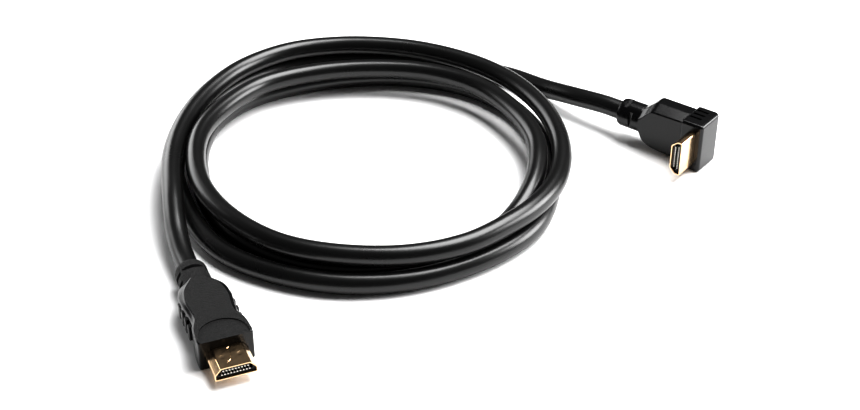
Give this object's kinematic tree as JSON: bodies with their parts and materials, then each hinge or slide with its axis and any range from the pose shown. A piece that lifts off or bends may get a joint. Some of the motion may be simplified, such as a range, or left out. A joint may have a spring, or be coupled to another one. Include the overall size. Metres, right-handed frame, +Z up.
{
  "type": "hdmi cable",
  "caption": "Black HDMI cable coiled loosely on the floor, with a straight gold-shelled plug on one end and a right-angled plug on the other",
  "frame": {"origin": "On the floor under the middle of the cable as it lies, at the centre of its bounding box's base", "axes": "+Z up from the floor; +Y away from the straight plug's side, across the coil; +X towards the angled plug"},
  "size_m": [0.2115, 0.2147, 0.0202],
  "materials": {
    "jacket": "black PVC cable jacket, satin",
    "straight_moulding": "black PVC moulded plug body, fine matte texture",
    "angled_moulding": "black PVC moulded plug body, semi-gloss",
    "gold_plating": "gold-plated plug shell",
    "insulator": "black insulator",
    "contact": "bright plated contact"
  },
  "bodies": {
    "root": {"cable_jacket": "jacket", "straight_plug_moulding": "straight_moulding", "angled_plug_moulding": "angled_moulding", "straight_plug_shell": "gold_plating", "straight_plug_insulator": "insulator", "straight_plug_contact_01": "contact", "straight_plug_contact_02": "contact", "straight_plug_contact_03": "contact", "straight_plug_contact_04": "contact", "straight_plug_contact_05": "contact", "straight_plug_contact_06": "contact", "straight_plug_contact_07": "contact", "straight_plug_contact_08": "contact", "straight_plug_contact_09": "contact", "straight_plug_contact_10": "contact", "straight_plug_contact_11": "contact", "straight_plug_contact_12": "contact", "straight_plug_contact_13": "contact", "straight_plug_contact_14": "contact", "straight_plug_contact_15": "contact", "straight_plug_contact_16": "contact", "straight_plug_contact_17": "contact", "straight_plug_contact_18": "contact", "straight_plug_contact_19": "contact", "angled_plug_shell": "gold_plating", "angled_plug_insulator": "insulator", "angled_plug_contact_01": "contact", "angled_plug_contact_02": "contact", "angled_plug_contact_03": "contact", "angled_plug_contact_04": "contact", "angled_plug_contact_05": "contact", "angled_plug_contact_06": "contact", "angled_plug_contact_07": "contact", "angled_plug_contact_08": "contact", "angled_plug_contact_09": "contact", "angled_plug_contact_10": "contact", "angled_plug_contact_11": "contact", "angled_plug_contact_12": "contact", "angled_plug_contact_13": "contact", "angled_plug_contact_14": "contact", "angled_plug_contact_15": "contact", "angled_plug_contact_16": "contact", "angled_plug_contact_17": "contact", "angled_plug_contact_18": "contact", "angled_plug_contact_19": "contact"}
  },
  "joints": []
}
